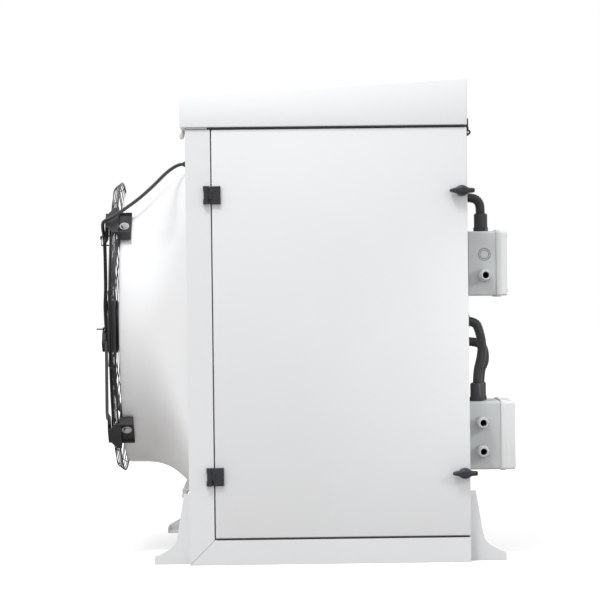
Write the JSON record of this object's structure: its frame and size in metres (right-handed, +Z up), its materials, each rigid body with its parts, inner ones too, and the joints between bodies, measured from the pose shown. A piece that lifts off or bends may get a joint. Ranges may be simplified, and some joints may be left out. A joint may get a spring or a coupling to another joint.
{
  "type": "chiller unit",
  "caption": "Sheet-metal chiller cabinet with side door, sloping lid, axial fan in a flared bell with a wire guard, rear junction boxes and bolt-down feet.",
  "frame": {"origin": "on the floor, in the middle of the four floor bolts", "axes": "+Z up, -X towards the fan, -Y towards the door"},
  "size_m": [1.2024, 1.034, 1.338],
  "materials": {
    "cabinet_white": "fine smooth powder coat",
    "galvanised": "galvanised sheet",
    "seal_black": "matte rubber",
    "bell_gloss": "glossy white moulding",
    "guard_black": "black coated steel wire",
    "zinc": "zinc plated",
    "motor_black": "black enamel",
    "blade_grey": "dark coated blades",
    "cable_black": "black sheath",
    "fin_aluminium": "bare fins",
    "copper": "copper tube",
    "plate_steel": "brazed stainless plates",
    "gear_grey": "moulded cases",
    "box_grey": "light grey moulding",
    "fitting_black": "black nylon",
    "foam_grey": "acoustic foam",
    "pull_light": "light moulded tab"
  },
  "bodies": {
    "cabinet": {"base_pan": "galvanised", "front_panel": "cabinet_white", "bottom_rails": "cabinet_white", "rear_panel": "cabinet_white", "far_side_panel": "cabinet_white", "top_frame": "galvanised", "door_gasket": "seal_black", "lid_seal": "seal_black", "fan_bell": "bell_gloss", "fan_throat": "galvanised", "wire_guard": "guard_black", "guard_brackets": "guard_black", "bracket_fasteners": "zinc", "motor_arms": "guard_black", "fan_motor": "motor_black", "motor_cable": "cable_black", "cable_grommet": "seal_black", "cable_ties": "cable_black", "coil_fins": "fin_aluminium", "coil_end_plates": "galvanised", "coil_bends": "copper", "coil_headers": "copper", "compressor": "motor_black", "compressor_mounts": "seal_black", "liquid_receiver": "motor_black", "filter_drier": "copper", "heat_exchanger": "plate_steel", "refrigerant_pipes": "copper", "water_pipes": "copper", "switchgear_plate": "galvanised", "switchgear": "gear_grey", "upper_box_body": "box_grey", "upper_box_cover": "box_grey", "lower_box_body": "box_grey", "lower_box_cover": "box_grey", "cover_screws": "zinc", "cable_glands": "box_grey", "conduit_glands": "fitting_black", "conduit_bushes": "fitting_black", "upper_conduit": "cable_black", "lower_conduit_front": "cable_black", "lower_conduit_back": "cable_black", "front_feet": "cabinet_white", "rear_feet": "cabinet_white", "drip_lip": "cabinet_white", "hinge_frames": "fitting_black", "hinge_pins": "zinc"},
    "door": {"door_panel": "cabinet_white", "door_insulation": "foam_grey", "door_hinge_leaves": "fitting_black"},
    "upper_knob": {"upper_wing_knob": "fitting_black", "upper_cam": "zinc"},
    "lower_knob": {"lower_wing_knob": "fitting_black", "lower_cam": "zinc"},
    "lid": {"lid_panel": "cabinet_white", "lid_hinge_leaves": "fitting_black", "lid_pull": "pull_light"},
    "fan": {"fan_rotor": "motor_black", "fan_blades": "blade_grey"}
  },
  "joints": [
    {"name": "fan_spin", "type": "hinge", "parent": "cabinet", "child": "fan", "pos_m": [-0.52, 0, 0.655], "axis": [1, 0, 0], "continuous": true},
    {"name": "door_hinge", "type": "hinge", "parent": "cabinet", "child": "door", "pos_m": [-0.33225, -0.489, 0.633], "axis": [0, 0, -1], "range_deg": [0, 120]},
    {"name": "upper_knob_turn", "type": "hinge", "parent": "door", "child": "upper_knob", "pos_m": [0.373, -0.48, 1.027], "axis": [0, -1, 0], "range_deg": [0, 90]},
    {"name": "lower_knob_turn", "type": "hinge", "parent": "door", "child": "lower_knob", "pos_m": [0.373, -0.48, 0.246], "axis": [0, -1, 0], "range_deg": [0, 90]},
    {"name": "lid_hinge", "type": "hinge", "parent": "cabinet", "child": "lid", "pos_m": [0.399, 0, 1.193], "axis": [0, 1, 0], "range_deg": [0, 100]}
  ]
}
